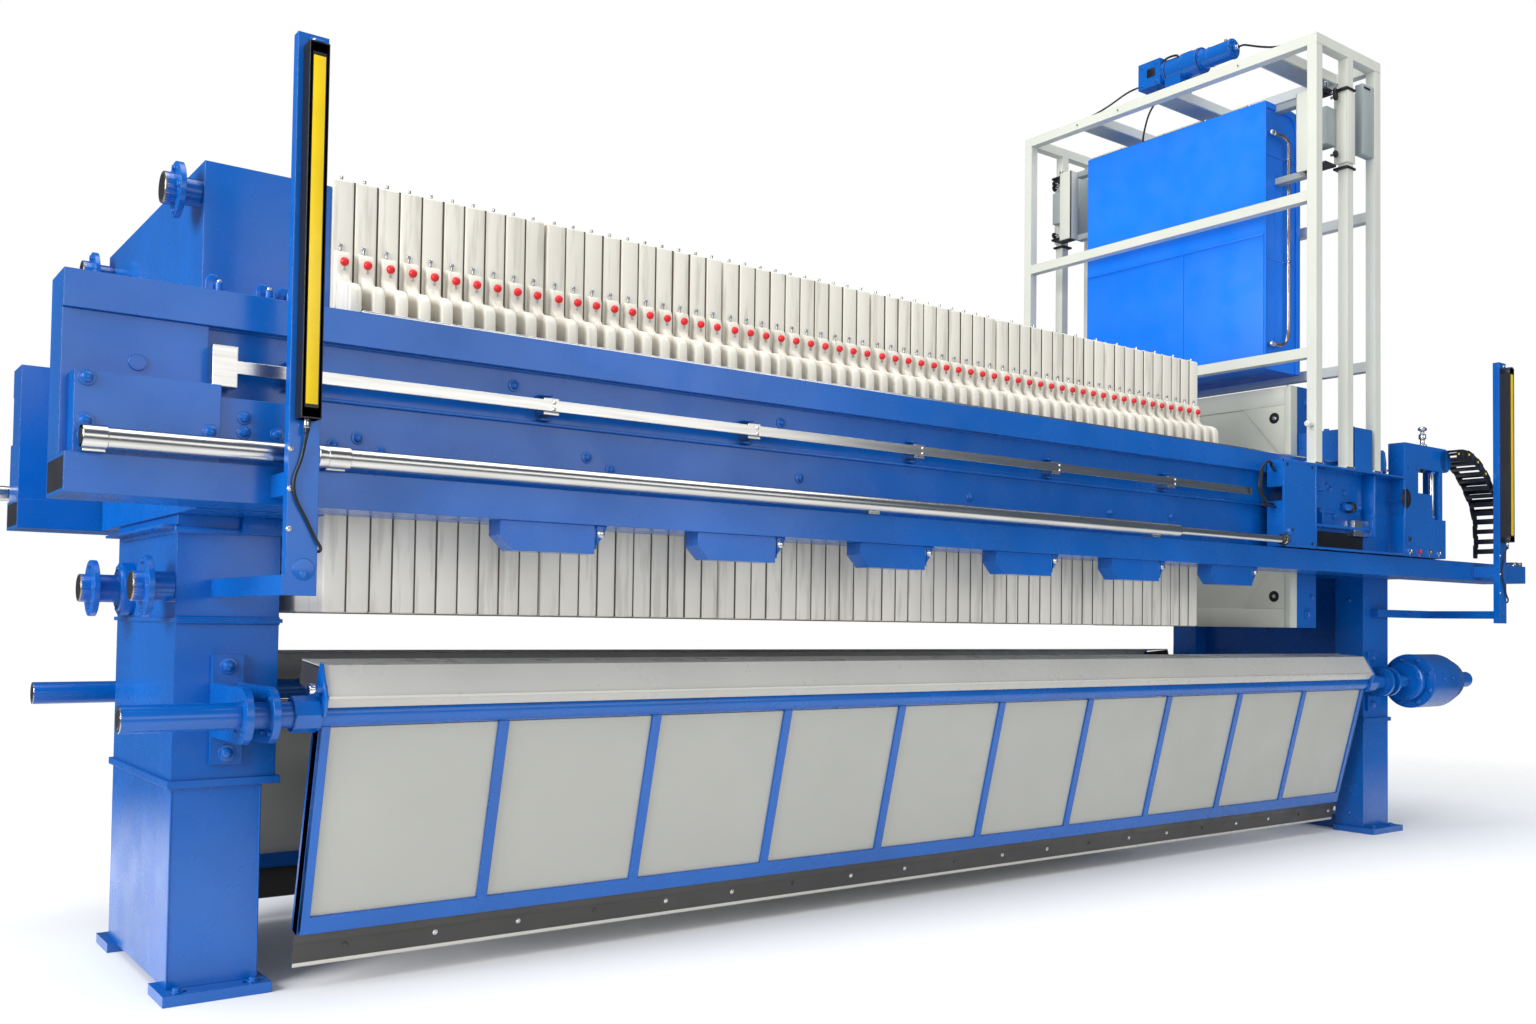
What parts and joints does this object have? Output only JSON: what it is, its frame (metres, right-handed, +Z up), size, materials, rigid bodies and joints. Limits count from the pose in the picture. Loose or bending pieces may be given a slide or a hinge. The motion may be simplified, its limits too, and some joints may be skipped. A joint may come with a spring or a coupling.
{
  "type": "side-beam plate filter press with drip doors and cloth-washing gantry",
  "caption": "Side-beam plate filter press: square plates on two beams, a sliding head with a wash gantry, and two long drip doors below",
  "frame": {"origin": "floor level, under the middle of the cylinder stand's floor beam", "axes": "+X along the side beams from the fixed head to the ram cylinder, +Y to the rear, +Z up"},
  "size_m": [9.064, 2.467, 5.008],
  "materials": {
    "blue_paint": "glossy blue machine enamel on welded steel",
    "cabinet_blue": "bright blue powder coat on sheet steel",
    "frame_white": "off-white satin paint on square tube",
    "plate_ivory": "moulded polypropylene, slightly soiled",
    "stainless": "ground stainless steel",
    "door_grey": "warm grey stainless sheet, satin",
    "dark_steel": "dark grey steel strip",
    "black_plastic": "black plastic housings and chain links"
  },
  "bodies": {
    "frame": {"beam_covers": "blue_paint", "bearings_left": "blue_paint", "bearings_right": "blue_paint", "crosshead": "blue_paint", "curtain_cables": "black_plastic", "curtain_posts": "blue_paint", "cylinder_brackets": "blue_paint", "cylinder_stand_legs": "blue_paint", "door_actuators": "blue_paint", "feed_ports": "blue_paint", "filtrate_ports": "blue_paint", "fixed_head": "blue_paint", "floor_beam": "blue_paint", "guide_bars": "stainless", "head_stand_feet": "blue_paint", "head_stand_lower": "blue_paint", "head_stand_upper": "blue_paint", "light_curtains": "black_plastic", "lower_rails": "blue_paint", "plates_1": "plate_ivory", "plates_2": "plate_ivory", "plates_3": "plate_ivory", "plates_4": "plate_ivory", "plates_5": "plate_ivory", "plates_6": "plate_ivory", "rail_brackets": "blue_paint", "ram_cylinder": "blue_paint", "side_beam_front": "blue_paint", "side_beam_rear": "blue_paint", "side_cylinder_barrels": "stainless", "stand_web": "blue_paint"},
    "head": {"moving_face": "frame_white", "moving_head": "blue_paint", "ram": "stainless", "carriage_front": "blue_paint", "carriage_rear": "blue_paint", "drive_blocks": "blue_paint", "cable_chain": "black_plastic", "piston_rods": "stainless", "gantry_posts": "frame_white", "gantry_top_frame": "frame_white", "gantry_rails": "frame_white", "wash_cabinet": "cabinet_blue", "cabinet_hose": "stainless", "guide_boxes": "frame_white", "hoist": "blue_paint", "hoist_cables": "black_plastic", "carriage_hoses": "black_plastic"},
    "front_door": {"front_door_frame": "blue_paint", "front_door_panels": "door_grey", "front_door_lip": "dark_steel", "front_door_hood": "door_grey", "front_door_ends": "dark_steel", "front_door_shaft": "blue_paint"},
    "rear_door": {"rear_door_frame": "blue_paint", "rear_door_panels": "door_grey", "rear_door_lip": "dark_steel", "rear_door_hood": "door_grey", "rear_door_ends": "dark_steel", "rear_door_shaft": "blue_paint"}
  },
  "joints": [
    {"name": "head_travel", "type": "slide", "parent": "frame", "child": "head", "axis": [1, 0, 0], "range_m": [-0.92, 0]},
    {"name": "front_door_swing", "type": "hinge", "parent": "frame", "child": "front_door", "pos_m": [0, -0.82, 0.975], "axis": [1, 0, 0], "range_deg": [-13, 49]},
    {"name": "rear_door_swing", "type": "hinge", "parent": "frame", "child": "rear_door", "pos_m": [0, 0.82, 0.975], "axis": [1, 0, 0], "range_deg": [-49, 13]}
  ]
}
